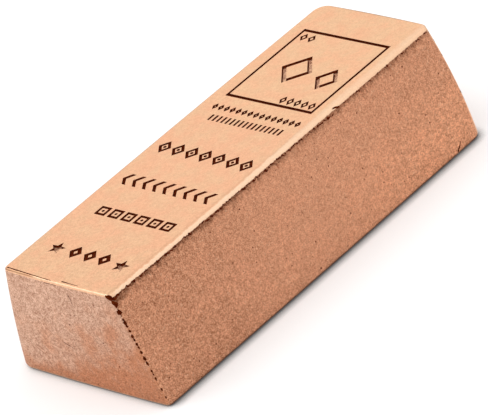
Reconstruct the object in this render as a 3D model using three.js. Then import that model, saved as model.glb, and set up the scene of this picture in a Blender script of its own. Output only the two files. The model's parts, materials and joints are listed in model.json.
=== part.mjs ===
// Copper ingot: a hand-sized bar that holds one pound of copper, all in one piece.
//
// Millimetres, +Z up.  The origin is the middle of the foot, on the surface that the bar rests on.
// +X runs along the bar and +Y across it.
//
// The section is a trapezoid, wide at the foot and narrow at the top, so that the metal leaves its
// mould and the next bar stacks on it.  The ends stand upright.  Lengths and widths are given at
// the sharp edges that the flat faces would meet in.  The rounded edges are taken off them.
//
// The bar is lofted upwards through outlines of its plan.  Every edge runs into its neighbours
// where three faces meet: the rounding of the foot or the top, the lean of the long sides and the
// rounding of the upright corner all come from the same outline.

import * as THREE from 'three';

// Flat faces.
const LENGTH = 81;
const FOOT_WIDTH = 35.4;
const TOP_WIDTH = 24.8;
const HEIGHT = 20.7;

// How far the middle of an upright face stands out past the straight line between its corners,
// where the metal was pressed out against the mould.
const END_CROWN = 0.2;
const SIDE_CROWN = 0.14;

// Rounded edges round the foot, along the top, and across the top at the ends.
const FOOT_EDGE_RADIUS = 0.7;
const TOP_SIDE_EDGE_RADIUS = 0.65;
const TOP_END_EDGE_RADIUS = 0.3;

// The four upright corners, in turn round the bar.  Each is rounded by its own amount at the foot
// and at the top, where knocks and handling have blunted it, and is sharper halfway up.
const CORNERS = [
  { along: 1, across: 1, footRadius: 1.9, middleRadius: 1.2, topRadius: 2.4 },
  { along: -1, across: 1, footRadius: 3.4, middleRadius: 1.6, topRadius: 1.1 },
  { along: -1, across: -1, footRadius: 1.2, middleRadius: 0.8, topRadius: 0.8 },
  { along: 1, across: -1, footRadius: 2.4, middleRadius: 0.7, topRadius: 1.7 },
];

// However much the edges take off, an outline keeps at least this much roundness at a corner.
const SHARPEST_CORNER = 0.08;

// Finish of the bare, slightly dulled metal.
const COPPER = { color: 0xd08f6c, roughness: 0.5, metalness: 0.9 };

// How finely the curves are cut into flats.
const CORNER_STEPS = 8;
const END_STEPS = 12;
const SIDE_STEPS = 16;
const EDGE_STEPS = 7;
const WALL_STEPS = 9;

// A wall of the bar, seen in section.  It leans in by `lean` from its sharp foot edge to its sharp
// top edge, and an arc at each of the two edges runs into it smoothly.  `flat` gives how far the
// wall stands in at a height, and `rounded` gives how much further its arcs take it.
function wall(lean, topRadius) {
  const slope = Math.hypot(lean, HEIGHT);
  const footCentre = FOOT_EDGE_RADIUS * (slope + lean) / HEIGHT;
  const footTangent = FOOT_EDGE_RADIUS * (1 + lean / slope);
  const topCentre = lean + topRadius * (slope - lean) / HEIGHT;
  const topTangent = HEIGHT - topRadius * (1 - lean / slope);
  const flat = (height) => lean * height / HEIGHT;
  const arc = (centre, radius, rise) => centre - Math.sqrt(Math.max(0, radius ** 2 - rise ** 2));
  const rounded = (height) => {
    if (height < footTangent) {
      return arc(footCentre, FOOT_EDGE_RADIUS, height - FOOT_EDGE_RADIUS) - flat(height);
    }
    if (height > topTangent) {
      return arc(topCentre, topRadius, height - (HEIGHT - topRadius)) - flat(height);
    }
    return 0;
  };
  return { flat, rounded };
}

const endWall = wall(0, TOP_END_EDGE_RADIUS);
const sideWall = wall((FOOT_WIDTH - TOP_WIDTH) / 2, TOP_SIDE_EDGE_RADIUS);

// Heights of the outlines: close together round the foot edge and the top edge, where they follow
// equal turns of the arcs, and far apart up the walls.
function levels() {
  const topRadius = Math.max(TOP_SIDE_EDGE_RADIUS, TOP_END_EDGE_RADIUS);
  const wallFoot = 2 * FOOT_EDGE_RADIUS;
  const wallTop = HEIGHT - topRadius;
  const heights = [];
  for (let step = 0; step <= EDGE_STEPS; step += 1) {
    const turn = (step / EDGE_STEPS) * (Math.PI / 2);
    heights.push(FOOT_EDGE_RADIUS * (1 - Math.cos(turn)));
  }
  for (let step = 0; step < WALL_STEPS; step += 1) {
    heights.push(THREE.MathUtils.lerp(wallFoot, wallTop, step / WALL_STEPS));
  }
  for (let step = 0; step <= EDGE_STEPS; step += 1) {
    const turn = (step / EDGE_STEPS) * (Math.PI / 2);
    heights.push(wallTop + topRadius * Math.sin(turn));
  }
  return heights;
}

// The radius of an upright corner at a height.  A parabola runs through the three that are given.
function uprightRadius(corner, height) {
  const rise = height / HEIGHT;
  const straight = THREE.MathUtils.lerp(corner.footRadius, corner.topRadius, rise);
  const bow = corner.middleRadius - (corner.footRadius + corner.topRadius) / 2;
  return straight + 4 * bow * rise * (1 - rise);
}

// The quarter turn of an outline round one of its corners.
function cornerArc(corner, height, halfLength, halfWidth) {
  const upright = uprightRadius(corner, height);
  const taken = Math.max(sideWall.rounded(height), endWall.rounded(height));
  const radius = Math.max(upright - taken, SHARPEST_CORNER);
  const centre = new THREE.Vector2(
    corner.along * (halfLength - radius),
    corner.across * (halfWidth - radius),
  );
  const start = Math.atan2(corner.across, corner.along) - Math.PI / 4;
  const points = [];
  for (let step = 0; step <= CORNER_STEPS; step += 1) {
    const angle = start + (step / CORNER_STEPS) * (Math.PI / 2);
    const spoke = new THREE.Vector2(radius * Math.cos(angle), radius * Math.sin(angle));
    points.push(centre.clone().add(spoke));
  }
  return points;
}

// The outline of the bar at one height, anticlockwise from above.  It runs round each corner and
// along the face to the next, and then every face is bowed outwards by its crown.
function outline(height) {
  const halfLength = LENGTH / 2 - endWall.flat(height) - endWall.rounded(height);
  const halfWidth = FOOT_WIDTH / 2 - sideWall.flat(height) - sideWall.rounded(height);
  const arcs = CORNERS.map((corner) => cornerArc(corner, height, halfLength, halfWidth));

  const loop = [];
  arcs.forEach((arc, index) => {
    const last = arc[arc.length - 1];
    const next = arcs[(index + 1) % arcs.length][0];
    const steps = index % 2 === 0 ? SIDE_STEPS : END_STEPS;
    loop.push(...arc);
    for (let step = 1; step < steps; step += 1) {
      loop.push(last.clone().lerp(next, step / steps));
    }
  });

  return loop.map((point) => {
    const along = point.x / halfLength;
    const across = point.y / halfWidth;
    return new THREE.Vector3(
      point.x + END_CROWN * along * (1 - across ** 2),
      point.y + SIDE_CROWN * across * (1 - along ** 2),
      height,
    );
  });
}

// A closed solid through a stack of outlines with equal numbers of points, lowest first.
function loft(outlines) {
  const count = outlines[0].length;
  const faces = [];
  for (let level = 0; level + 1 < outlines.length; level += 1) {
    for (let side = 0; side < count; side += 1) {
      const near = level * count + side;
      const far = level * count + (side + 1) % count;
      faces.push(near, far, far + count);
      faces.push(near, far + count, near + count);
    }
  }

  const flatFace = (points) => THREE.ShapeUtils.triangulateShape(
    points.map((point) => new THREE.Vector2(point.x, point.y)),
    [],
  );
  const topStart = (outlines.length - 1) * count;
  flatFace(outlines[0]).forEach(([a, b, c]) => faces.push(a, c, b));
  flatFace(outlines[outlines.length - 1]).forEach((corners) => {
    faces.push(...corners.map((corner) => topStart + corner));
  });

  const positions = outlines.flat().flatMap((point) => point.toArray());
  const geometry = new THREE.BufferGeometry();
  geometry.setAttribute('position', new THREE.Float32BufferAttribute(positions, 3));
  geometry.setIndex(faces);
  geometry.computeVertexNormals();
  return geometry;
}

const ingot = new THREE.Mesh(
  loft(levels().map(outline)),
  new THREE.MeshStandardMaterial(COPPER),
);
ingot.name = 'ingot';

const bar = new THREE.Group();
bar.add(ingot);

export default bar;
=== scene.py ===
# %% [markdown]
# # A pressed copper ingot
#
# The object is one solid bar of copper that weighs a pound. Its two ends stand upright, its two
# long sides lean in towards the top, and the top is a flat face with marks pressed into it.
# The CAD part gives the bar's true shape and size. This lesson gives it what CAD leaves out: the
# pressed marks, the torn lip under the long edges, chips, pits and the colour of the metal.
# It starts by loading the CAD part.

# %% Load the CAD part
import json
import math
import random

import bpy
from mathutils import Matrix, Vector

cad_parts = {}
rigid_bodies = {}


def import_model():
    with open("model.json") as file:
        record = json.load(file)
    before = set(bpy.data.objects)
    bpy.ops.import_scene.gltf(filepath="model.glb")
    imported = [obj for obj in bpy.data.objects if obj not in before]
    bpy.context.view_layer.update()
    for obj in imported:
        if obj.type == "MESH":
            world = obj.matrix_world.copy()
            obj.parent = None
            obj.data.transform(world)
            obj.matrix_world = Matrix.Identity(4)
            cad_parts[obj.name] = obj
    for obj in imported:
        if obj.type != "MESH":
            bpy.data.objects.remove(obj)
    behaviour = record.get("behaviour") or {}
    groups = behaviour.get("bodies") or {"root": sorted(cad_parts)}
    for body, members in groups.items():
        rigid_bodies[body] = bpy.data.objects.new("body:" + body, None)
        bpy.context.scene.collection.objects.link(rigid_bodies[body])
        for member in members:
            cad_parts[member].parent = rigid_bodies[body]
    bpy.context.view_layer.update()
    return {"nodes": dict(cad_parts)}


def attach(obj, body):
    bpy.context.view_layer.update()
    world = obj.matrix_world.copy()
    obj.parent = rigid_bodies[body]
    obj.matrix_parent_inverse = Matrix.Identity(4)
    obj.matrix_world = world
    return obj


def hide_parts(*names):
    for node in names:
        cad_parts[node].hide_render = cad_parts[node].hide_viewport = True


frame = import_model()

MM = 0.001
cad_bar = frame["nodes"]["ingot"]

# %% [markdown]
# ## Picking by place
#
# An operator acts on everything that is selected, so each step starts with nothing selected.
# Faces, edges and points are then picked by where they are and which way they face, which is
# what a modeller does by eye in the viewport.

# %% Helpers that select
def only(*pieces):
    """Select these pieces and nothing else, with the last one active."""
    if bpy.context.mode != "OBJECT":
        bpy.ops.object.mode_set(mode="OBJECT")
    bpy.ops.object.select_all(action="DESELECT")
    for piece in pieces:
        piece.select_set(True)
        bpy.context.view_layer.objects.active = piece
    return pieces[-1]


def everything(*_):
    """Want all there is."""
    return True


def pick(piece, kind, wanted=everything):
    """Enter edit mode with only the wanted faces, edges or points of the piece selected."""
    only(piece)
    bpy.ops.object.mode_set(mode="EDIT")
    bpy.ops.mesh.select_mode(type=kind)
    bpy.ops.mesh.select_all(action="DESELECT")
    bpy.ops.object.mode_set(mode="OBJECT")
    points = piece.data.vertices
    if kind == "FACE":
        for face in piece.data.polygons:
            face.select = wanted(face.center, face.normal)
    elif kind == "EDGE":
        for edge in piece.data.edges:
            edge.select = wanted(*(points[i].co for i in edge.vertices))
    else:
        for point in points:
            point.select = wanted(point.co)
    bpy.ops.object.mode_set(mode="EDIT")


def settle(piece):
    """Put the piece's place, turn and size into its mesh."""
    only(piece)
    bpy.ops.object.transform_apply(location=True, rotation=True, scale=True)
    return piece


MERGE_REACH = 0.0005


def close(piece):
    """Merge doubled points and turn every face of a closed piece outwards."""
    pick(piece, "VERT")
    bpy.ops.mesh.remove_doubles(threshold=MERGE_REACH * MM)
    bpy.ops.mesh.normals_make_consistent(inside=False)
    return only(piece)


print("Points less than", MERGE_REACH, "mm apart count as one")

# %% [markdown]
# ## The camera
#
# The bar is seen from above one of its corners, by a long lens from far away, so that its long
# edges stay almost parallel. The camera is placed first, because every later step is judged
# through it. Its turn is given by the directions that its right side and its top point in.

# %% Place the camera
CAMERA_PLACE = Vector((-444.285, -555.662, 421.615)) * MM
CAMERA_RIGHT = Vector((0.63952, -0.7176, -0.2758)).normalized()
CAMERA_UP = Vector((0.54682, 0.17244, 0.8193)).normalized()
CAMERA_LENS = 368.85
CAMERA_SEES = (0.05, 20)

camera_back = CAMERA_RIGHT.cross(CAMERA_UP)
camera_turn = Matrix((CAMERA_RIGHT, CAMERA_UP, camera_back)).transposed()
bpy.ops.object.camera_add(location=CAMERA_PLACE, rotation=camera_turn.to_euler())
camera = bpy.context.object
camera.data.lens = CAMERA_LENS
camera.data.clip_start, camera.data.clip_end = CAMERA_SEES
bpy.context.scene.camera = camera
print("The camera stands", round(CAMERA_PLACE.length, 3), "m from the bar's foot")

# %% [markdown]
# ## The finishes, by name
#
# A pressed copper bar shows two finishes. Its skin is bare copper, and wherever a mark, a chip or
# a pit goes below the skin it holds brown tarnish. The two are only named here: a cut gives its
# fresh walls the finish of the tool that made it, so the names have to exist before the cutting.

# %% Name the two finishes
skin = bpy.data.materials.new("copper_skin")
tarnish = bpy.data.materials.new("brown_tarnish")
for finish in (skin, tarnish):
    finish.use_nodes = True
print("Finishes:", skin.name, "and", tarnish.name)

# %% [markdown]
# ## The bar itself
#
# The bar could be drawn again from a cube, but the CAD mesh already has the leaning sides, the
# slight crown of each face and the corners, each rounded in its own way. So a copy of it is the
# start. A CAD mesh is loose triangles, so its points are merged first.

# %% Copy the CAD bar
bar = bpy.data.objects.new("ingot_bar", cad_bar.data.copy())
bpy.context.collection.objects.link(bar)
pick(bar, "VERT")
bpy.ops.mesh.remove_doubles(threshold=MERGE_REACH * MM)
bpy.ops.mesh.tris_convert_to_quads()
only(bar)
bar.data.materials.clear()
bar.data.materials.append(skin)
print("The bar starts with", len(bar.data.polygons), "faces")

# %% [markdown]
# ## Cutting with a tool
#
# Marks, chips and pits all go below the surface. Each is modelled as a closed solid tool and
# taken away from the bar with a Boolean modifier, as a die or a knock would take it. The manifold
# solver is quick, and it always gives a closed solid, as long as it is given closed solids that
# don't cross themselves. Each cut is checked all the same: the bar has to stay closed and keep its
# length. A cut that went wrong is taken back and done again with the exact solver. The solids of
# one tool must not overlap.

# %% Helpers that cut
def open_edges(piece):
    """How many edges don't have exactly one face on each side. A closed solid has none."""
    sides = {}
    for face in piece.data.polygons:
        for edge in face.edge_keys:
            sides[edge] = sides.get(edge, 0) + 1
    return sum(count != 2 for count in sides.values())


def length(piece):
    """How long the piece is."""
    along = [point.co.x for point in piece.data.vertices]
    return max(along) - min(along)


LENGTH_KEPT = 0.9


def cut(piece, tool):
    """Take the tool's solid away from the piece. The new walls keep the tool's finish."""
    print("Tool with", len(tool.data.polygons), "faces and", open_edges(tool), "open edges")
    uncut = piece.data.copy()
    full_length = length(piece)
    for solver in ("MANIFOLD", "EXACT"):
        only(piece)
        bpy.ops.object.modifier_add(type="BOOLEAN")
        modifier = piece.modifiers[-1]
        modifier.operation = "DIFFERENCE"
        modifier.solver = solver
        modifier.material_mode = "TRANSFER"
        modifier.object = tool
        bpy.ops.object.modifier_apply(modifier=modifier.name)
        if open_edges(piece) == 0 and length(piece) > LENGTH_KEPT * full_length:
            break
        print("The cut went wrong and is taken back")
        piece.data = uncut.copy()
    bpy.data.objects.remove(tool)
    print("The bar now has", len(piece.data.polygons), "faces")


print("After each cut the bar is to keep", LENGTH_KEPT, "of its", round(length(bar) / MM, 1), "mm")

# %% [markdown]
# ## The torn lip under the long edges
#
# When the bar is pressed, a little copper is squeezed out along the top of each long side. It
# folds down over the side and tears, so that the top's edge ends in a ragged lip with a dark
# gap below it. A smooth bevel can't show that. The tool is a long wedge that undercuts the edge.
# It is a box whose inner face is narrowed to a line. Its upper wall leans out over the gap and
# its lower wall runs out slowly into the side. Its outer face is then drawn well out into the
# air, because walls that run close together would cross once they are roughened. The gap is
# deepest near the chipped corner and shallower towards the far end, so the tool is turned by a
# hair.

# %% A plain wedge along the edge
HALF_LENGTH = 40.5
TOP_HEIGHT = 20.7
TOP_HALF_WIDTH = 12.4
SIDE_LEAN = 0.256
SIDE_CROWN = 0.14
GAP_DEEPEST = (12.32, 19.78)
GAP_TOP_EDGE = (12.95, 20.9)
GAP_FOOT_EDGE = (13.2, 18.35)
GAP_TURN = 0.0016
GAP_SPARE = 1.0


def plain_wedge(side):
    """The wedge before it is roughened. side is the sign of y."""
    (deep_y, deep_z), (foot_y, foot_z) = GAP_DEEPEST, GAP_FOOT_EDGE
    top_y, top_z = GAP_TOP_EDGE
    place = Vector((0, side * (deep_y + foot_y) / 2, (foot_z + top_z) / 2)) * MM
    size = Vector((2 * (HALF_LENGTH + GAP_SPARE), foot_y - deep_y, top_z - foot_z)) * MM
    bpy.ops.mesh.primitive_cube_add(size=1, location=place, scale=size)
    wedge = settle(bpy.context.object)
    pick(wedge, "VERT", lambda co: abs(co.y) < abs(place.y))
    deepest = Vector((0, side * deep_y, deep_z)) * MM
    bpy.ops.transform.resize(value=(1, 1, 0), center_override=deepest)
    pick(wedge, "VERT", lambda co: co.z > (deep_z + top_z) / 2 * MM)
    bpy.ops.transform.translate(value=(0, side * (top_y - foot_y) * MM, 0))
    pick(wedge, "FACE", lambda centre, normal: side * normal.y > 0.9)
    bpy.ops.mesh.extrude_region_move(
        TRANSFORM_OT_translate={"value": (0, side * GAP_SPARE * MM, 0)})
    return close(wedge)


print("The gap is deepest", round(TOP_HEIGHT - GAP_DEEPEST[1], 2), "mm below the top")

# %% [markdown]
# A tool needs a finish of its own, because a cut hands it on to the new walls. The walls of the
# gap are to be bare in some places and tarnished in others.

# %% Helpers that give a finish
def coat(piece, finish):
    """Give the piece one finish all over."""
    piece.data.materials.clear()
    piece.data.materials.append(finish)
    return piece


def touch_up(piece, finish, wanted):
    """Give the wanted faces of a piece a second finish."""
    piece.data.materials.append(finish)
    pick(piece, "FACE", wanted)
    piece.active_material_index = 1
    bpy.ops.object.material_slot_assign()
    return only(piece)


print("So far the bar has", len(bar.data.materials), "finish")

# %% [markdown]
# The wedge is then divided into short lengths, bowed as the side itself is bowed, and roughened
# twice: every point gets a small shift of its own, which tears the edge, and a noise pushes it in
# long waves. The wedge is stretched while its points are shifted, so that they hardly move along
# the bar and none passes its neighbour. Proportional editing with an inverse square falloff is a
# parabola, as the crown of the side is. The roof of the gap, under the lip, is tarnished in
# places, most often at the near end. Its faces are put in order before chance picks among them,
# so that every run picks the same ones.

# %% Divide, bow and tear the wedge
LENGTHS = 100
PARTS_OF_A_LENGTH = 3
RUNS_ALONG = 0.5
AT_MIDDLE = 0.1
STRETCH = 6
POINT_SHIFT = 0.21
WAVE_LENGTH = 1.3
WAVE_HEIGHT = 0.8
FACES_UP = 0.05
DARK_SHARE = 0.72
DARK_FALL = 0.2
EDGE_SEEDS = ((-1, 5), (1, 11))


def divide_along(piece, parts):
    """Divide all edges that run along the bar into this many parts."""
    pick(piece, "EDGE", lambda start, end: abs(start.x - end.x) > RUNS_ALONG * MM)
    bpy.ops.mesh.subdivide(number_cuts=parts - 1)


def torn_wedge(side, seed):
    """The finished gap tool for one long edge."""
    wedge = plain_wedge(side)
    divide_along(wedge, LENGTHS)
    divide_along(wedge, PARTS_OF_A_LENGTH)
    pick(wedge, "VERT", lambda co: abs(co.x) < AT_MIDDLE * MM)
    bpy.ops.transform.translate(
        value=(0, side * SIDE_CROWN * MM, 0), use_proportional_edit=True,
        proportional_edit_falloff="INVERSE_SQUARE", proportional_size=HALF_LENGTH * MM)
    pick(wedge, "VERT")
    bpy.ops.transform.resize(value=(STRETCH, 1, 1), center_override=(0, 0, 0))
    bpy.ops.transform.vertex_random(offset=POINT_SHIFT * MM, uniform=1, normal=0, seed=seed)
    bpy.ops.transform.resize(value=(1 / STRETCH, 1, 1), center_override=(0, 0, 0))
    only(wedge)
    bpy.ops.object.modifier_add(type="DISPLACE")
    waves = wedge.modifiers[-1]
    waves.texture = bpy.data.textures.new("long_waves", "CLOUDS")
    waves.texture.noise_scale = WAVE_LENGTH * MM
    waves.direction = "Z"
    waves.strength = WAVE_HEIGHT * MM
    bpy.ops.object.modifier_apply(modifier=waves.name)
    wedge.rotation_euler.z = side * GAP_TURN
    coat(close(settle(wedge)), skin)
    roof = sorted(tuple(face.center) for face in wedge.data.polygons if face.normal.z > FACES_UP)
    chance = random.Random(seed)
    dark = {centre for centre in roof
            if chance.random() < DARK_SHARE - DARK_FALL * centre[0] / (HALF_LENGTH * MM)}
    return touch_up(wedge, tarnish, lambda centre, normal: tuple(centre) in dark)


for side, seed in EDGE_SEEDS:
    cut(bar, torn_wedge(side, seed))

# %% [markdown]
# ## Chips, dents and scratches
#
# The bar has been knocked about. One top corner has lost a flake, and a chain of small dents and
# torn stretches runs down the upright edge below it. One foot corner has a short crack, and the
# die has scored the top near its edge. A dent is an icosphere that is stretched, roughened and
# sunk into the surface. A scratch is a long thin box, divided and roughened.

# %% A rough pebble and a rough splinter as tools
PEBBLE_ROUGHNESS = 0.26
SPLINTER_SPACING = 0.35


def join(pieces):
    """Join pieces into one object."""
    only(*pieces)
    if len(pieces) > 1:
        bpy.ops.object.join()
    return bpy.context.object


def half_width(z):
    """Half the bar's width at a height, in mm, before the crown."""
    return TOP_HALF_WIDTH + SIDE_LEAN * (TOP_HEIGHT - z)


def pebble(place, size, seed, turn=(0, 0, 0), detail=2):
    """A rough ball with this place and these half sizes, in mm. turn is in degrees."""
    bpy.ops.mesh.primitive_ico_sphere_add(subdivisions=detail, radius=1)
    tool = bpy.context.object
    pick(tool, "VERT")
    bpy.ops.transform.vertex_random(offset=PEBBLE_ROUGHNESS, uniform=1, normal=0, seed=seed)
    only(tool)
    tool.scale = Vector(size) * MM
    tool.rotation_euler = [math.radians(angle) for angle in turn]
    tool.location = Vector(place) * MM
    return coat(close(settle(tool)), tarnish)


def splinter(start, end, width, seed, tip=0.4, rough=0.25, spacing=SPLINTER_SPACING):
    """A thin ragged bar from start to end, in mm, that narrows to tip times its width."""
    start, end = Vector(start) * MM, Vector(end) * MM
    reach = (end - start).length
    bpy.ops.mesh.primitive_cube_add(size=1, scale=(width * MM, width * MM, reach))
    tool = settle(bpy.context.object)
    pick(tool, "EDGE", lambda one, other: abs(one.z - other.z) > reach / 2)
    bpy.ops.mesh.subdivide(number_cuts=round(reach / spacing / MM))
    pick(tool, "VERT")
    bpy.ops.transform.vertex_random(offset=rough * width * MM, uniform=1, normal=0, seed=seed)
    pick(tool, "VERT", lambda co: co.z > (reach - width * MM) / 2)
    bpy.ops.transform.resize(value=(tip, tip, 1), use_proportional_edit=True,
                             proportional_edit_falloff="LINEAR", proportional_size=reach,
                             center_override=(0, 0, reach / 2))
    only(tool)
    tool.rotation_euler = (end - start).to_track_quat("Z", "Y").to_euler()
    tool.location = (start + end) / 2
    return coat(close(settle(tool)), tarnish)


print("Halfway up, the bar is", round(2 * half_width(TOP_HEIGHT / 2), 1), "mm wide")

# %% The chipped corner and the chain of dents below it
EDGE_TILT = -math.degrees(math.atan(SIDE_LEAN))
CORNER_INSET = 0.216
SHARPEST_AT = 15.5
CORNER_OPENING = 0.00055
NEAR_DENTS = (
    # height, half width, half height
    (17.55, 0.42, 0.56), (16.2, 0.22, 0.3), (15.6, 0.32, 0.46), (15.0, 0.2, 0.32),
    (14.1, 0.22, 0.3), (13.15, 0.25, 0.34), (12.5, 0.2, 0.26), (11.65, 0.24, 0.3),
    (11.05, 0.18, 0.26), (10.2, 0.22, 0.34), (8.95, 0.3, 0.42), (8.1, 0.26, 0.38),
    (6.7, 0.19, 0.28), (6.1, 0.13, 0.2), (5.3, 0.18, 0.3), (3.3, 0.21, 0.34),
    (1.8, 0.15, 0.26),
)
NEAR_SEED = 20


def on_near_edge(height):
    """A place on the upright edge below the chipped corner, which is rounder near the foot."""
    inset = CORNER_INSET + CORNER_OPENING * (SHARPEST_AT - height) ** 2
    return (inset - HALF_LENGTH, inset - half_width(height), height)


upper_chip = pebble((-40.66, -12.05, 20.24), (0.6, 0.98, 0.5), 3, (16, 0, 6))
lower_chip = pebble((-40.4, -12.82, 19.52), (0.72, 0.68, 1.12), 4, (EDGE_TILT, 0, 0))
side_chip = pebble((-39.35, -12.8, 20.05), (0.8, 0.42, 0.36), 6, (0, -8, 0))
dents = [pebble(on_near_edge(height), (wide, wide, tall), NEAR_SEED + number,
                (EDGE_TILT, 0, 0), detail=1)
         for number, (height, wide, tall) in enumerate(NEAR_DENTS)]
# neighbours may touch, which solids that are cut together must not, so every second one waits
for tool in (upper_chip, lower_chip, side_chip, join(dents[::2]), join(dents[1::2])):
    cut(bar, tool)

# %% [markdown]
# Between its dents the same edge is torn, in short thin stretches. One long crack would look drawn
# with a ruler. The scores and scratches are made in the same way, so one cut takes them all.

# %% The torn stretches between the dents, and the scores and scratches
SCORES = (
    # start, end, width
    ((-40.02, 11.7, 20.7), (-40.46, 1.2, 20.68), 0.26),
    ((-40.02, -0.9, 20.7), (-40.1, -4.7, 20.7), 0.22),
    ((-40.72, 2.7, 20.12), (-40.72, -0.4, 20.12), 0.14),
    ((-40.7, -2.15, 18.9), (-40.7, -2.5, 16.6), 0.16),
    ((-40.69, 3.2, 8.2), (-40.7, 1.0, 7.4), 0.13),
    ((33.7, -17.46, 0.55), (35.25, -17.3, 1.8), 0.3),
)
NEAR_SEAM = (
    # heights at which each torn stretch starts and ends
    (18.3, 16.8), (16.1, 14.75), (13.5, 12.2), (11.9, 10.75), (9.5, 7.6), (6.9, 5.9), (5.6, 4.9),
)
SEAM_WIDTH = 0.13
SEAM_SEED = 9
SCORE_SEED = 70

seam = [splinter(on_near_edge(start), on_near_edge(end), SEAM_WIDTH, SEAM_SEED + number,
                 tip=0.6, rough=0.35, spacing=0.3)
        for number, (start, end) in enumerate(NEAR_SEAM)]
scores = [splinter(start, end, width, SCORE_SEED + number)
          for number, (start, end, width) in enumerate(SCORES)]
cut(bar, join([*seam, *scores]))

# %% Smaller dents on the far upright edge and a flake off the long edge
FAR_DENTS = (
    # height, half width, half height
    (17.9, 0.2, 0.3), (15.2, 0.14, 0.24), (8.25, 0.24, 0.34), (6.9, 0.16, 0.3), (3.0, 0.24, 0.36),
)
FAR_INSET = (0.3, 0.25)
FAR_SEED = 50

knocks = []
for number, (height, wide, tall) in enumerate(FAR_DENTS):
    place = (HALF_LENGTH - FAR_INSET[0], FAR_INSET[1] - half_width(height), height)
    knocks.append(pebble(place, (wide, wide, tall), FAR_SEED + number, (EDGE_TILT, 0, 0)))
knocks.append(pebble((15.4, -12.62, 20.42), (0.9, 0.3, 0.16), 61, (0, 14, 0)))
cut(bar, join(knocks))

# %% [markdown]
# ## The marks on the top
#
# The top carries a square frame and rows of small marks, pressed in by a die. A real die often
# carries words. This bar keeps the places and the weight of its rows but holds only plain
# ornament: lozenges, chevrons, squares, ticks and stars. Every stroke is a groove about a third
# of a millimetre deep whose floor is narrower than its mouth, because a die needs that taper to
# come out again. Each kind of mark is modelled once, around the origin, with its mouth just
# above zero.

# %% Bars and dots
MOUTH = 0.2
TAPER = 0.62
DOT_SIDES = 10
HAIR = 0.01


def on_floor(tool):
    """A test for what lies at the tool's lowest level."""
    lowest = min(point.co.z for point in tool.data.vertices)
    return lambda place, *_: place.z < lowest + HAIR * MM


def narrow_floor(tool, along, across):
    """Shrink the floor of a tool towards its middle, so that its walls lean."""
    pick(tool, "VERT", on_floor(tool))
    bpy.ops.transform.resize(value=(along, across, 1), center_override=(0, 0, 0))
    return coat(only(tool), tarnish)


def bare_floor(tool):
    """Finish the floor of a tool in bare copper, so that the groove's floor is bright."""
    return touch_up(tool, skin, on_floor(tool))


def stroke(along, width, depth):
    """A straight stroke along x."""
    size = Vector((along, width, depth + MOUTH)) * MM
    middle = (0, 0, (MOUTH - depth) / 2 * MM)
    bpy.ops.mesh.primitive_cube_add(size=1, location=middle, scale=size)
    return narrow_floor(settle(bpy.context.object), 1 - (1 - TAPER) * width / along, TAPER)


def dot(radius, depth):
    """A small round punch mark."""
    bpy.ops.mesh.primitive_cone_add(vertices=DOT_SIDES, radius1=radius * TAPER * MM,
                                    radius2=radius * MM, depth=(depth + MOUTH) * MM,
                                    location=(0, 0, (MOUTH - depth) / 2 * MM))
    return coat(settle(bpy.context.object), tarnish)


print("The floor of a stroke is", TAPER, "times as wide as its mouth")

# %% [markdown]
# A lozenge could be four strokes that meet at their corners, but those would overlap. One section
# that is spun round the centre in four steps gives a closed ring with clean corners instead.
# Resized, it makes any lozenge, and a square too.

# %% Lozenges and squares
CORNERS = 4


def outline(across, along, width, depth):
    """The outline of a lozenge. A tapered section is spun round the centre in four steps."""
    mitre = math.cos(math.pi / CORNERS)
    mean_radius = (across + along) / 4
    section = width / mitre / mean_radius
    middle = (1 - section / 2, 0, 0)
    bpy.ops.mesh.primitive_plane_add(size=1, location=middle, rotation=(math.pi / 2, 0, 0))
    tool = bpy.context.object
    tool.scale.x = section
    settle(tool)
    pick(tool, "VERT", lambda co: co.z < 0)
    bpy.ops.transform.resize(value=(TAPER, 1, 1), center_override=middle)
    bpy.ops.mesh.select_all(action="SELECT")
    bpy.ops.mesh.delete(type="ONLY_FACE")
    bpy.ops.mesh.select_all(action="SELECT")
    bpy.ops.mesh.spin(steps=CORNERS, angle=2 * math.pi, center=(0, 0, 0), axis=(0, 0, 1))
    only(tool)
    tool.location.z = (MOUTH - depth) / 2 * MM
    tool.scale = Vector((along / 2, across / 2, depth + MOUTH)) * MM
    settle(tool)
    return coat(close(tool), tarnish)


def square(size, width, depth):
    """A square outline with its sides along x and y."""
    reach = size * math.sqrt(2)
    tool = outline(reach, reach, width, depth)
    tool.rotation_euler.z = math.radians(45)
    return settle(tool)


print("A ring is spun in", CORNERS, "steps")

# %% [markdown]
# A star starts as a flat shape with ten corners. Every second corner is drawn in, and the shape is
# extruded down. A chevron is a stroke that is divided in the middle, where it is moved sideways.

# %% Stars and chevrons
STAR_TIPS = 5
STAR_WAIST = 0.45
STAR_TAPER = 0.85


def star(radius, depth):
    """A solid star with one of its tips towards +x."""
    bpy.ops.mesh.primitive_circle_add(vertices=2 * STAR_TIPS, radius=radius * MM,
                                      fill_type="NGON", location=(0, 0, MOUTH * MM),
                                      rotation=(0, 0, math.radians(-90)))
    tool = settle(bpy.context.object)
    step = math.pi / STAR_TIPS

    def inner(co):
        return round(math.atan2(co.y, co.x) / step) % 2 == 1

    pick(tool, "VERT", inner)
    bpy.ops.transform.resize(value=(STAR_WAIST, STAR_WAIST, 1), center_override=(0, 0, 0))
    pick(tool, "FACE")
    bpy.ops.mesh.extrude_region_move(
        TRANSFORM_OT_translate={"value": (0, 0, -(depth + MOUTH) * MM)})
    return narrow_floor(close(tool), STAR_TAPER, STAR_TAPER)


def chevron(across, along, width, depth):
    """A bent stroke that points to +y."""
    tool = stroke(along, width, depth)
    pick(tool, "VERT")
    bpy.ops.mesh.bisect(plane_co=(0, 0, 0), plane_no=(1, 0, 0))
    pick(tool, "VERT", lambda co: abs(co.x) < HAIR * MM)
    bpy.ops.transform.translate(value=(0, across * MM, 0))
    return only(tool)


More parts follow.
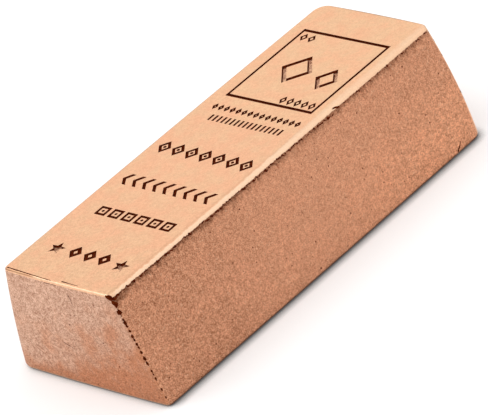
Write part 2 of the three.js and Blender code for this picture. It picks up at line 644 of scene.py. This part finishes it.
print("A star has", STAR_TIPS, "tips")

# %% [markdown]
# ## Setting out the rows
#
# The rows run across the bar. A row is given by where it stands along the bar, where it starts
# and ends across it, and how many marks it holds. The marks are then spaced evenly. Each kind
# is pressed in one go, so the bar is cut a few times and not once for each mark.

# %% Helpers that set out copies
def put(x, y, z, turn=0, size=1):
    """The matrix that moves a model to a place in mm, turned about Z in degrees and resized."""
    turned = Matrix.Rotation(math.radians(turn), 4, "Z")
    return Matrix.Translation(Vector((x, y, z)) * MM) @ turned @ Matrix.Scale(size, 4)


def copy_to(model, places):
    """Copy a model, each copy with its own mesh, to every place and join the copies."""
    copies = []
    for place in places:
        mesh = model.data.copy()
        mesh.transform(place)
        copies.append(bpy.data.objects.new(model.name + "_copy", mesh))
        bpy.context.collection.objects.link(copies[-1])
    bpy.data.objects.remove(model)
    return join(copies)


def row(x, start, end, count):
    """Evenly spaced places across the bar, all at one x."""
    step = (end - start) / (count - 1)
    return [(x, start + step * number) for number in range(count)]


def press(model, spots):
    """Copies of a mark at these (x, y) spots on the top."""
    return copy_to(model, [put(x, y, TOP_HEIGHT) for x, y in spots])


print("Three marks in a row from 0 to 10:", row(0, 0, 10, 3))

# %% Rows of small marks
MARK_DEPTH = 0.34
FINE_DEPTH = 0.3

lozenges = row(-3.55, 9.3, -9.3, 7)
chevrons = row(-13.2, 8.7, -10.0, 9)
squares = row(-21.9, 6.6, -8.2, 6)
marks = [
    press(outline(2.85, 3.6, 0.66, MARK_DEPTH), lozenges),
    press(dot(0.38, MARK_DEPTH), lozenges),
    press(chevron(1.05, 3.1, 0.925, MARK_DEPTH), chevrons),
    press(square(2.4, 0.62, MARK_DEPTH), squares),
    press(dot(0.34, MARK_DEPTH), squares),
]
cut(bar, join(marks))

# %% The stars with bold lozenges between them
STAR_DEPTH = 0.45

bold = row(-32.8, 2.7, -3.9, 3)
marks = [
    press(bare_floor(star(1.7, STAR_DEPTH)), ((-32.9, 6.85), (-33.3, -8.1))),
    press(outline(2.8, 3.4, 0.85, MARK_DEPTH), bold),
]
cut(bar, join(marks))

# %% Two fine rows, of lozenges and of ticks
marks = [
    press(outline(1.2, 1.9, 0.5, FINE_DEPTH), row(9.0, 9.0, -9.8, 15)),
    press(stroke(1.75, 0.54, FINE_DEPTH), row(6.1, 7.4, -8.4, 17)),
]
cut(bar, join(marks))

# %% [markdown]
# The frame is one flat face whose inner part is inset and removed before the rest is extruded
# down. Inside it stand small lozenges and two large ones, whose floors the die has left bright.

# %% The frame and what it holds
FRAME_MIDDLE = (22.65, -0.2)
FRAME_ALONG = 20.9
FRAME_ACROSS = 19.6


def frame_tool(thin, thick, depth):
    """A rectangular outline whose two sides that run across the bar are thicker."""
    bpy.ops.mesh.primitive_plane_add(size=1, location=(0, 0, MOUTH * MM))
    tool = bpy.context.object
    tool.scale = Vector((FRAME_ALONG, FRAME_ACROSS, 1)) * MM
    settle(tool)
    pick(tool, "FACE")
    bpy.ops.mesh.inset(thickness=thin * MM)
    inside = FRAME_ALONG / 2 - thin
    narrower = (FRAME_ALONG / 2 - thick) / inside
    bpy.ops.transform.resize(value=(narrower, 1, 1), center_override=(0, 0, 0))
    bpy.ops.mesh.delete(type="FACE")
    bpy.ops.mesh.select_all(action="SELECT")
    bpy.ops.mesh.extrude_region_move(
        TRANSFORM_OT_translate={"value": (0, 0, -(depth + MOUTH) * MM)})
    return coat(close(tool), tarnish)


marks = [
    press(frame_tool(0.5, 0.66, MARK_DEPTH), [FRAME_MIDDLE]),
    press(outline(1.6, 2.3, 0.46, MARK_DEPTH), ((30.9, 7.9), (30.9, 6.1))),
    press(outline(1.45, 2.3, 0.46, MARK_DEPTH), row(14.15, -2.0, -8.5, 5)),
    press(bare_floor(outline(7.0, 8.4, 0.95, STAR_DEPTH)), [(22.4, 2.1)]),
    press(bare_floor(outline(5.0, 6.4, 0.9, STAR_DEPTH)), [(21.5, -5.4)]),
]
cut(bar, join(marks))

# %% [markdown]
# ## Pits
#
# Small pits are scattered over the walls of a cast or pressed bar, densest on the long sides,
# which slid along the mould. A few rough grains are modelled, two of them tarnished and two bare,
# and each pit is a copy of one of them, resized at random. A pit is kept only where it stays
# clear of the others, because solids that are cut together must not overlap. Its place is
# measured on the CAD bar, which is the same in every run, and the seeds are fixed too.

# %% Places for the pits
PIT_SPACING = 0.75
PIT_SMALL = 0.09
PIT_LARGE = 0.2
PIT_RARITY = 2.5
PIT_LIFT = 0.3
PIT_LOWEST = 0.8
PIT_HIGHEST = (19.0, 19.6)  # on the sides and on the ends
PIT_FARTHEST = 39.3
SIDE_CLEAR = 0.3
END_CLEAR = 0.5


def scatter(count, seed, aim):
    """Centres and sizes of pits. aim gives a point in mm, and the pit is put closest to it."""
    chance = random.Random(seed)
    pits = []
    for _ in range(3 * count):
        _, place, outward, _ = cad_bar.closest_point_on_mesh(aim(chance) * MM)
        radius = PIT_SMALL + (PIT_LARGE - PIT_SMALL) * chance.random() ** PIT_RARITY
        centre = place / MM + outward * radius * PIT_LIFT
        if all((centre - other).length > PIT_SPACING for other, _ in pits):
            pits.append((centre, radius))
    return pits[:count]


def beside(side):
    """Points over a long side, from the foot edge to just under the lip."""
    def aim(chance):
        height = chance.uniform(PIT_LOWEST, PIT_HIGHEST[0])
        along = chance.uniform(-PIT_FARTHEST, PIT_FARTHEST)
        return Vector((along, side * (half_width(height) + SIDE_CLEAR), height))
    return aim


def before(side):
    """Points over an end."""
    def aim(chance):
        height = chance.uniform(PIT_LOWEST, PIT_HIGHEST[1])
        width = half_width(height) - 1
        return Vector((side * (HALF_LENGTH + END_CLEAR), width * chance.uniform(-1, 1), height))
    return aim


print("Pits are", 2 * PIT_SMALL, "to", 2 * PIT_LARGE, "mm wide")

# %% Cut the pits
PIT_FIELDS = (
    # how many, seed, where
    (230, 31, beside(-1)), (160, 32, beside(1)), (60, 33, before(-1)), (50, 34, before(1)),
)
GRAIN_SEEDS = (90, 91, 92, 93)
TURN_SEED = 35

grains = [pebble((0, 0, 0), (1, 1, 1), seed, detail=1) for seed in GRAIN_SEEDS]
for clean_grain in grains[2:]:
    coat(clean_grain, skin)
pits = [pit for field in PIT_FIELDS for pit in scatter(*field)]
chance = random.Random(TURN_SEED)
for number, grain in enumerate(grains):
    places = [put(*centre, turn=chance.uniform(0, 360), size=radius)
              for centre, radius in pits[number::len(grains)]]
    cut(bar, copy_to(grain, places))

# %% [markdown]
# ## Crumbs
#
# Where two cuts meet, a crumb of copper can be left that hangs in the air. Whatever isn't joined
# to a foot corner of the bar is brushed off.

# %% Brush off the crumbs
foot_corner = min(bar.data.vertices, key=lambda point: sum(point.co)).co.copy()
pick(bar, "VERT", lambda co: co == foot_corner)
bpy.ops.mesh.select_linked()
bpy.ops.mesh.select_all(action="INVERT")
bpy.ops.object.mode_set(mode="OBJECT")
print("Loose points:", sum(point.select for point in bar.data.vertices))
bpy.ops.object.mode_set(mode="EDIT")
bpy.ops.mesh.delete(type="VERT")
only(bar)

# %% [markdown]
# ## Smooth where it is round, sharp where it is cut
#
# The crowned faces and rounded edges have to shade smoothly, and the mouths of the grooves and
# pits have to stay crisp. Smooth shading up to an angle does the first. The rims of the level
# faces and of everything that is tarnished are then marked sharp. A weighted normal lets the
# large faces decide how their shared points shade, so that no cut leaves a smudge beside it.

# %% Shade the bar
SHARPEST_SMOOTH = 35
LEVEL = 0.9999


def sharpen_rim(piece):
    """Mark the rim of the selected faces as sharp."""
    bpy.ops.mesh.region_to_loop()
    bpy.ops.mesh.mark_sharp()
    only(piece)


only(bar)
bpy.ops.object.shade_smooth_by_angle(angle=math.radians(SHARPEST_SMOOTH))
pick(bar, "FACE", lambda centre, normal: abs(normal.z) > LEVEL)
sharpen_rim(bar)
pick(bar, "FACE", lambda centre, normal: False)
bar.active_material_index = 1  # the tarnish
bpy.ops.object.material_slot_select()
sharpen_rim(bar)
bpy.ops.object.modifier_add(type="WEIGHTED_NORMAL")
bar.modifiers[-1].keep_sharp = True
bpy.ops.object.modifier_apply(modifier=bar.modifiers[-1].name)
print("The finished bar has", len(bar.data.polygons), "faces and", open_edges(bar), "open edges")

# %% [markdown]
# ## Small parts of a finish
#
# A finish is built from nodes. A few short functions keep its recipe readable: each adds one
# node, links what it is given, and returns the socket that carries its result. Every pattern
# reads the Object coordinates, in metres, so it stays on the metal whatever looks at it.

# %% Nodes that reckon
class Reckoning:
    """The node tree of one finish, which starts as a plain Principled shader."""

    def __init__(self, material):
        self.tree = material.node_tree
        self.shader = self.tree.nodes["Principled BSDF"]
        coordinates = self.tree.nodes.new("ShaderNodeTexCoord")
        self.place = coordinates.outputs["Object"]
        self.facing = coordinates.outputs["Normal"]

    def feed(self, socket, value):
        """Link a socket to another one, or give it a fixed value."""
        if isinstance(value, bpy.types.NodeSocket):
            self.tree.links.new(value, socket)
        else:
            socket.default_value = value

    def math(self, operation, first, second=0.0):
        node = self.tree.nodes.new("ShaderNodeMath")
        node.operation = operation
        self.feed(node.inputs[0], first)
        self.feed(node.inputs[1], second)
        return node.outputs[0]

    def plus(self, first, second):
        return self.math("ADD", first, second)

    def times(self, first, second):
        return self.math("MULTIPLY", first, second)

    def larger(self, first, second):
        return self.math("MAXIMUM", first, second)

    def smaller(self, first, second):
        return self.math("MINIMUM", first, second)

    def parts(self, vector):
        """The x, y and z of a vector."""
        node = self.tree.nodes.new("ShaderNodeSeparateXYZ")
        self.feed(node.inputs[0], vector)
        return node.outputs[0], node.outputs[1], node.outputs[2]

    def ramp(self, value, low, high, out_low=0.0, out_high=1.0):
        """Goes smoothly from out_low to out_high as the value goes from low to high."""
        node = self.tree.nodes.new("ShaderNodeMapRange")
        node.interpolation_type = "SMOOTHSTEP"
        for socket, number in zip(node.inputs[:5], (value, low, high, out_low, out_high)):
            self.feed(socket, number)
        return node.outputs[0]

    def fade(self, place, start, end, out_start=0.0, out_end=1.0):
        """A ramp between two places along an axis, in mm."""
        return self.ramp(place, start * MM, end * MM, out_start, out_end)


print("A new finish starts with", len(skin.node_tree.nodes), "nodes")

# %% Nodes for patterns, colours and relief
class Recipe(Reckoning):
    """A finish with patterns, mixed colours and a bump."""

    def direction(self, numbers):
        """A fixed direction."""
        node = self.tree.nodes.new("ShaderNodeCombineXYZ")
        for socket, number in zip(node.inputs, numbers):
            self.feed(socket, number)
        return node.outputs[0]

    def noise(self, size, detail=2.0):
        """Cloudy noise, 0 to 1, with lumps about this size in mm."""
        node = self.tree.nodes.new("ShaderNodeTexNoise")
        self.feed(node.inputs["Vector"], self.place)
        node.inputs["Scale"].default_value = 1 / (size * MM)
        node.inputs["Detail"].default_value = detail
        return node.outputs["Fac"]

    def blend(self, share, first, second):
        """A colour between two others."""
        node = self.tree.nodes.new("ShaderNodeMix")
        node.data_type = "RGBA"
        self.feed(node.inputs[0], share)
        for socket, colour in ((node.inputs[6], first), (node.inputs[7], second)):
            self.feed(socket, (*colour, 1) if isinstance(colour, tuple) else colour)
        return node.outputs[2]

    def bump(self, height, depth):
        """A bump this many mm deep where the height goes from 0 to 1."""
        node = self.tree.nodes.new("ShaderNodeBump")
        self.feed(node.inputs["Height"], height)
        node.inputs["Distance"].default_value = depth * MM
        self.feed(self.shader.inputs["Normal"], node.outputs[0])


print("Lumps of 1 mm need a noise scale of", round(1 / MM))

# %% [markdown]
# ## Bare copper
#
# Copper is a metal, so its colour comes from what it reflects, tinted by the metal. The top has
# been pressed against a smooth die and is the palest. The ends are duller and the long sides are
# matt and grainy, and both are also coloured darker than the top as painted shade, for the light
# that falls less on them. An end is painted darker and warmer towards the foot and the near long
# side, as painted shade.
# Which of these a point belongs to follows from its height, its place and the way that its
# surface faces, with some noise so that no border is a ruled line.

# %% Where each finish lies
# The end and side colours are darker than the top's partly as painted shade, for the light that
# falls less on them.
TOP_COLOUR = (1.0, 0.625, 0.367)
TOP_PINK = (0.985, 0.56, 0.338)
END_PALE = (0.88, 0.59, 0.437)
END_WARM_SHADED = (0.70, 0.322, 0.176)
SIDE_COLOUR = (0.81, 0.411, 0.246)
SIDE_PALE = (0.97, 0.49, 0.285)
HIGHLIGHT_AND_WEAR = (1.0, 0.71, 0.495)
DULL = (0.34, 0.135, 0.065)
SHADE_BROWN = (0.17, 0.055, 0.022)
TOP_STARTS = 20.22
TOP_FULL = 20.32
BORDER_GRAIN = 0.7
BORDER_FRAY = 0.05

copper = Recipe(skin)
x, y, z = copper.parts(copper.place)
facing_x, facing_y, facing_z = copper.parts(copper.facing)
turn_x, turn_y = copper.math("ABSOLUTE", facing_x), copper.math("ABSOLUTE", facing_y)
fray = copper.ramp(copper.noise(BORDER_GRAIN, detail=3), 0.3, 0.7, -1.0, 1.0)
frayed_z = copper.plus(z, copper.times(fray, BORDER_FRAY * MM))
on_top = copper.fade(frayed_z, TOP_STARTS, TOP_FULL)
on_end = copper.ramp(copper.math("SUBTRACT", turn_x, turn_y), -0.15, 0.15)
print("The copper has", len(copper.tree.nodes), "nodes that say where things are")

# %% [markdown]
# The colour is mottled. A thin patina lies in the hollows of the grain, so it is made from noise
# of three sizes, the finest about a fifth of a millimetre. A few dark specks are added, and bright
# specks that are painted glints, highlights painted into the colour. All this is strongest on the
# sides and ends and weak on the top.

# %% The patina
FINE_GRAIN = 0.21
SPECK = 0.26
COARSE_GRAIN = 0.6
CLOUD = 3.5
FINE_WEIGHT = 0.56
COARSE_WEIGHT = 0.3
CLOUD_WEIGHT = 0.14

fine_grain = copper.ramp(copper.noise(FINE_GRAIN), 0.62, 0.38)
coarse_grain = copper.ramp(copper.noise(COARSE_GRAIN), 0.64, 0.36)
cloud = copper.noise(CLOUD, detail=3)
patina = copper.plus(copper.times(fine_grain, FINE_WEIGHT),
                     copper.times(coarse_grain, COARSE_WEIGHT))
patina = copper.plus(patina, copper.ramp(cloud, 0.62, 0.38, 0.0, CLOUD_WEIGHT))
specks = copper.noise(SPECK)
patina = copper.larger(patina, copper.ramp(specks, 0.36, 0.3, 0.0, 0.6))
# The glints are bright specks painted into the colour: painted highlights.
glints = copper.ramp(specks, 0.62, 0.7, 0.0, 0.45)
side_share = copper.larger(copper.fade(x, -30, 0, 1.0, 0.7), copper.fade(x, 5, 35, 0.7, 0.85))
patina_share = copper.ramp(on_end, 0, 1, side_share, 0.85)
top_share = copper.fade(x, -38, -12, 0.32, 0.22)
patina_share = copper.ramp(on_top, 0, 1, patina_share, top_share)
print("The patina is mixed from grains of", FINE_GRAIN, "and", COARSE_GRAIN, "and", CLOUD, "mm")

# %% [markdown]
# Each face also changes along the bar. An end goes from pale to darker and warmer towards the foot
# and towards the near long side, a painted shade with some noise in it. The sides grow paler
# towards the far end and the foot. The top has faint pink clouds, most of them in its near half.

# %% The main colours
END_SHADE_SLOPE = (-16, -32)  # for each metre along y and z

# The end's darker, warmer colour towards the foot and the near long side is painted shade.
end_shade_share = copper.plus(copper.times(y, END_SHADE_SLOPE[0]), copper.times(z, END_SHADE_SLOPE[1]))
end_shade_share = copper.plus(end_shade_share, copper.ramp(cloud, 0.3, 0.7, -0.2, 0.2))
end_shade_share = copper.plus(end_shade_share, copper.fade(z, 3.5, 0.5, 0.0, 0.35))
end = copper.blend(copper.ramp(end_shade_share, -0.55, 0.15), END_PALE, END_WARM_SHADED)
pale_share = copper.times(copper.fade(x, 0, 32), copper.fade(z, 16, 4, 0.1, 0.9))
walls = copper.blend(on_end, copper.blend(pale_share, SIDE_COLOUR, SIDE_PALE), end)
pink_share = copper.times(copper.fade(x, 14, 0, 0.0, 0.35), copper.fade(x, -38, -20, 0.2, 1.0))
pink_share = copper.plus(pink_share, copper.ramp(cloud, 0.35, 0.65, 0.0, 0.8))
top = copper.blend(pink_share, TOP_COLOUR, TOP_PINK)
colour = copper.blend(on_top, walls, top)
colour = copper.blend(copper.times(patina, patina_share), colour, DULL)
# Painted glints: bright specks are mixed towards the highlight colour.
colour = copper.blend(copper.times(glints, patina_share), colour, HIGHLIGHT_AND_WEAR)
print("With its main colours the copper has", len(copper.tree.nodes), "nodes")

# %% [markdown]
# Under the torn lip the side is painted brown as painted shade, most of all near the chipped
# corner. The edge above it has a painted highlight, over some real wear, in a band that is narrow
# and clear at the near end and wider and fainter towards the far end. Behind that band runs a
# faint dull one, which is painted shade.

# %% The painted shade under the lip
LIP_SHADE_STARTS = 19.25
LIP_SHADE_FULL = 19.95
LIP_SHADE_FRAY = 0.35

torn = copper.ramp(copper.noise(0.9, detail=4), 0.3, 0.7, -LIP_SHADE_FRAY * MM, LIP_SHADE_FRAY * MM)
torn_z = copper.plus(z, torn)
lip_shade = copper.fade(torn_z, LIP_SHADE_STARTS, LIP_SHADE_FULL)
lip_shade = copper.times(lip_shade, copper.fade(x, -35, 32, 0.95, 0.55))
near_corner = copper.fade(x, -36, -39.5)
corner_shade = copper.times(near_corner, copper.fade(torn_z, 18.6, 19.4, 0.0, 0.85))
lip_shade = copper.larger(lip_shade, corner_shade)
lip_shade = copper.times(lip_shade, copper.ramp(fine_grain, 0, 1, 0.65, 1.0))
lip_shade = copper.times(lip_shade, copper.ramp(turn_y, 0.5, 0.8))
lip_shade = copper.times(lip_shade, copper.ramp(on_top, 0, 1, 1, 0))
# Painted shade: the side under the lip, and lower down near the chipped corner, is darkened
# towards brown.
colour = copper.blend(lip_shade, colour, SHADE_BROWN)
print("The brown reaches down to", LIP_SHADE_STARTS, "mm")

# %% The painted highlight, over some wear, along the near long edge
BAND_NARROW = 0.55
BAND_WIDE = 1.8
BAND_FRAY = 0.14
BAND_SHADE_SHARE = 0.13

# The band is a painted highlight on the rounded long edge, over some real wear.
from_edge = copper.plus(y, TOP_HALF_WIDTH * MM)
from_edge = copper.plus(from_edge, copper.times(fray, BAND_FRAY * MM))
band_width = copper.fade(x, -20, 28, BAND_NARROW * MM, BAND_WIDE * MM)
band = copper.math("SUBTRACT", 1.0, copper.math("DIVIDE", from_edge, band_width))
band = copper.ramp(band, 0.0, 0.6)
band = copper.times(band, copper.fade(x, -10, 30, 1.0, 0.55))
band = copper.times(band, copper.ramp(fine_grain, 0, 1, 1.0, 0.75))
band = copper.times(band, on_top)
band = copper.times(band, copper.fade(x, -40.4, -38.5, 0.3, 1.0))
# Painted shade: a faint dull strip on the top just behind the band.
band_shade = copper.times(copper.fade(from_edge, 0.35, 0.8),
                      copper.fade(from_edge, 1.3, 0.9, 0.0, BAND_SHADE_SHARE))
band_shade = copper.times(band_shade, copper.fade(x, 20, 5))
colour = copper.blend(copper.times(band_shade, on_top), colour, DULL)
print("The band widens from", BAND_NARROW, "to", BAND_WIDE, "mm")

# %% [markdown]
# Edges and corners get painted highlights and painted shade. A highlight is painted along the
# near end's top edge towards the chipped corner, on the far upright corners and along the foot of
# the ends. Shade is painted along the rest of the end's top edges, along the far top edges and
# along the foot of the long sides. The way that the surface faces finds them: on a rounded edge it
# lies between the directions of its two faces.

# %% The end edges, the far corners and the foot
EDGE_SHADE = 0.55
EDGE_HIGHLIGHT = 0.7
FAR_SHADE = (0.7, 0.6)  # along the far long edge and along the far end
CORNER_HIGHLIGHT = 0.6
FOOT_SHADE = 0.3
FOOT_HIGHLIGHT = 0.4

on_end_edge = copper.ramp(copper.smaller(turn_x, facing_z), 0.3, 0.5)
edge_shaded_part = copper.larger(copper.fade(y, 3.5, 6.5), copper.fade(x, 0, 1))
# Painted shade: the end's top edge away from the chipped corner and the far top edges turn brown.
edge_shade = copper.times(on_end_edge, copper.times(edge_shaded_part, EDGE_SHADE))
far_rim = copper.larger(
    copper.fade(y, TOP_HALF_WIDTH - 0.35, TOP_HALF_WIDTH, 0.0, FAR_SHADE[0]),
    copper.fade(x, HALF_LENGTH - 0.3, HALF_LENGTH, 0.0, FAR_SHADE[1]))
edge_shade = copper.larger(edge_shade, copper.times(far_rim, on_top))
colour = copper.blend(edge_shade, colour, SHADE_BROWN)
# Painted highlights: the near end's top edge towards the chipped corner, the far upright corners
# and the foot of the ends are lightened.
edge_highlight = copper.times(on_end_edge, copper.ramp(edge_shaded_part, 0, 1, EDGE_HIGHLIGHT, 0))
on_corner = copper.ramp(copper.smaller(turn_x, turn_y), 0.3, 0.55)
corner_highlight = copper.times(on_corner, copper.fade(x, 20, 40, 0.0, CORNER_HIGHLIGHT))
on_foot = copper.ramp(facing_z, -0.05, -0.4)
# Painted shade: the foot edge of the long sides is darkened towards brown.
foot_shade = copper.times(on_foot, copper.ramp(on_end, 0, 1, FOOT_SHADE, 0.0))
colour = copper.blend(foot_shade, colour, SHADE_BROWN)
foot_highlight = copper.times(on_foot, copper.ramp(on_end, 0, 1, 0.0, FOOT_HIGHLIGHT))
# The band and the painted highlights are mixed in here.
bright = copper.larger(copper.larger(band, edge_highlight), copper.larger(corner_highlight, foot_highlight))
colour = copper.blend(bright, colour, HIGHLIGHT_AND_WEAR)
copper.feed(copper.shader.inputs["Base Color"], colour)
copper.shader.inputs["Metallic"].default_value = 1.0
print("The copper's colour takes", len(copper.tree.nodes), "nodes")

# %% [markdown]
# The die has left the top smoother than the walls, so it is glossier and its grain is half as
# deep. The bump uses the same noise as the patina, so that the patina sits in the hollows.

# %% Gloss and grain of the copper
WALL_ROUGHNESS = 0.58
TOP_ROUGHNESS = 0.42
ROUGHNESS_SPREAD = 0.05
GRAIN_DEPTH = 0.07
TOP_GRAIN = 0.5

roughness = copper.ramp(on_top, 0, 1, WALL_ROUGHNESS, TOP_ROUGHNESS)
spread = copper.ramp(cloud, 0.3, 0.7, -ROUGHNESS_SPREAD, ROUGHNESS_SPREAD)
copper.feed(copper.shader.inputs["Roughness"], copper.plus(roughness, spread))
height = copper.plus(copper.times(fine_grain, -0.35), copper.times(coarse_grain, -0.65))
height = copper.times(height, copper.ramp(on_top, 0, 1, 1.0, TOP_GRAIN))
copper.bump(height, GRAIN_DEPTH)
print("The grain is", GRAIN_DEPTH, "mm deep")

# %% [markdown]
# ## Brown tarnish
#
# Where the die and the knocks went below the skin, the copper is coated with dark red-brown
# oxide. An oxide isn't a metal. It is a plain rough film with hardly any shine.

# %% The tarnish
FILM_DARK = (0.075, 0.006, 0.0005)
FILM_PALE = (0.14, 0.022, 0.003)
FILM_ROUGHNESS = 0.8
FILM_SHINE = 0.04
FILM_GRAIN = 0.3
FILM_DEPTH = 0.05

film = Recipe(tarnish)
film_grain = film.noise(FILM_GRAIN, detail=3)
film_colour = film.blend(film.ramp(film_grain, 0.4, 0.6), FILM_DARK, FILM_PALE)
film.feed(film.shader.inputs["Base Color"], film_colour)
film.shader.inputs["Roughness"].default_value = FILM_ROUGHNESS
film.shader.inputs["Specular IOR Level"].default_value = FILM_SHINE
film.bump(film_grain, FILM_DEPTH)
print("The tarnish takes", len(film.tree.nodes), "nodes")

# %% [markdown]
# ## Floor and light
#
# The bar lies on a plain white floor under one large soft lamp, with even light from all round.
# The floor has to look white without being lit harder than the bar, so to the camera and to
# reflections it also glows a little. It still takes the bar's shadow, and close to the bar its
# colour is darkened as painted contact shade, found by ambient occlusion and leaned so that it is
# darker on the near long side.

# %% The white floor
FLOOR_SIZE = 6
FLOOR_WHITE = 0.88
FLOOR_GLOW = 0.18
CONTACT_REACH = 2.2
CONTACT_LEAN = (-0.15, 0.55, 0.8)
CONTACT_SAMPLES = 8
CONTACT_DARKEST = 0.2

bpy.ops.mesh.primitive_plane_add(size=FLOOR_SIZE)
floor = bpy.context.object
floor.name = "floor"
floor.data.materials.append(bpy.data.materials.new("white_paper"))
floor.data.materials[0].use_nodes = True
paper = Recipe(floor.data.materials[0])
contact = paper.tree.nodes.new("ShaderNodeAmbientOcclusion")
contact.inputs["Distance"].default_value = CONTACT_REACH * MM
contact.samples = CONTACT_SAMPLES
paper.feed(contact.inputs["Normal"], paper.direction(CONTACT_LEAN))
# Painted contact shade: near the bar the floor's colour and glow are darkened by the occlusion.
meeting = paper.ramp(contact.outputs["AO"], 0.2, 0.95, CONTACT_DARKEST, 1.0)
paper.feed(paper.shader.inputs["Base Color"],
           paper.blend(meeting, (0, 0, 0), (FLOOR_WHITE,) * 3))
paper.shader.inputs["Roughness"].default_value = 1.0
paper.shader.inputs["Specular IOR Level"].default_value = 0.0
paper.shader.inputs["Emission Color"].default_value = (1, 1, 1, 1)
rays = paper.tree.nodes.new("ShaderNodeLightPath").outputs
watched = paper.larger(rays["Is Camera Ray"], rays["Is Glossy Ray"])
watched = paper.larger(watched, rays["Is Transmission Ray"])
glow = paper.times(watched, FLOOR_GLOW)
paper.feed(paper.shader.inputs["Emission Strength"], paper.times(glow, meeting))
print("The floor is", FLOOR_WHITE, "white and glows by", FLOOR_GLOW)

# %% [markdown]
# A metal shows what surrounds it, so most of the light comes from a white sky that is a little
# darker towards the horizon. The lamp stands behind the far long side and throws a faint shadow.

# %% An even sky and one soft lamp
SKY_LOW = 0.66
SKY_HIGH = 1.05
SKY_HIGH_FROM = 0.5
LAMP_PLACE = Vector((-0.33, 0.47, 0.82))
LAMP_SIZE = 0.4
LAMP_POWER = 1.3

world = bpy.data.worlds.new("studio")
bpy.context.scene.world = world
world.use_nodes = True
sky = world.node_tree.nodes
links = world.node_tree.links
direction = sky.new("ShaderNodeTexCoord")
upward = sky.new("ShaderNodeSeparateXYZ")
rise = sky.new("ShaderNodeMapRange")
links.new(direction.outputs["Generated"], upward.inputs[0])
links.new(upward.outputs["Z"], rise.inputs["Value"])
rise.inputs["From Max"].default_value = SKY_HIGH_FROM
rise.inputs["To Min"].default_value = SKY_LOW
rise.inputs["To Max"].default_value = SKY_HIGH
links.new(rise.outputs[0], sky["Background"].inputs["Strength"])
sky["Background"].inputs["Color"].default_value = (1, 1, 1, 1)

lamp_turn = LAMP_PLACE.to_track_quat("Z", "Y").to_euler()
bpy.ops.object.light_add(type="AREA", location=LAMP_PLACE, rotation=lamp_turn)
lamp = bpy.context.object
lamp.data.shape = "DISK"
lamp.data.size = LAMP_SIZE
lamp.data.energy = LAMP_POWER
bpy.context.scene.view_settings.view_transform = "Standard"
print("The lamp stands", round(LAMP_PLACE.length, 2), "m away")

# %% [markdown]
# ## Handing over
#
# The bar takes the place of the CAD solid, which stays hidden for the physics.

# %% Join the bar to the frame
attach(bar, "root")
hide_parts("ingot")
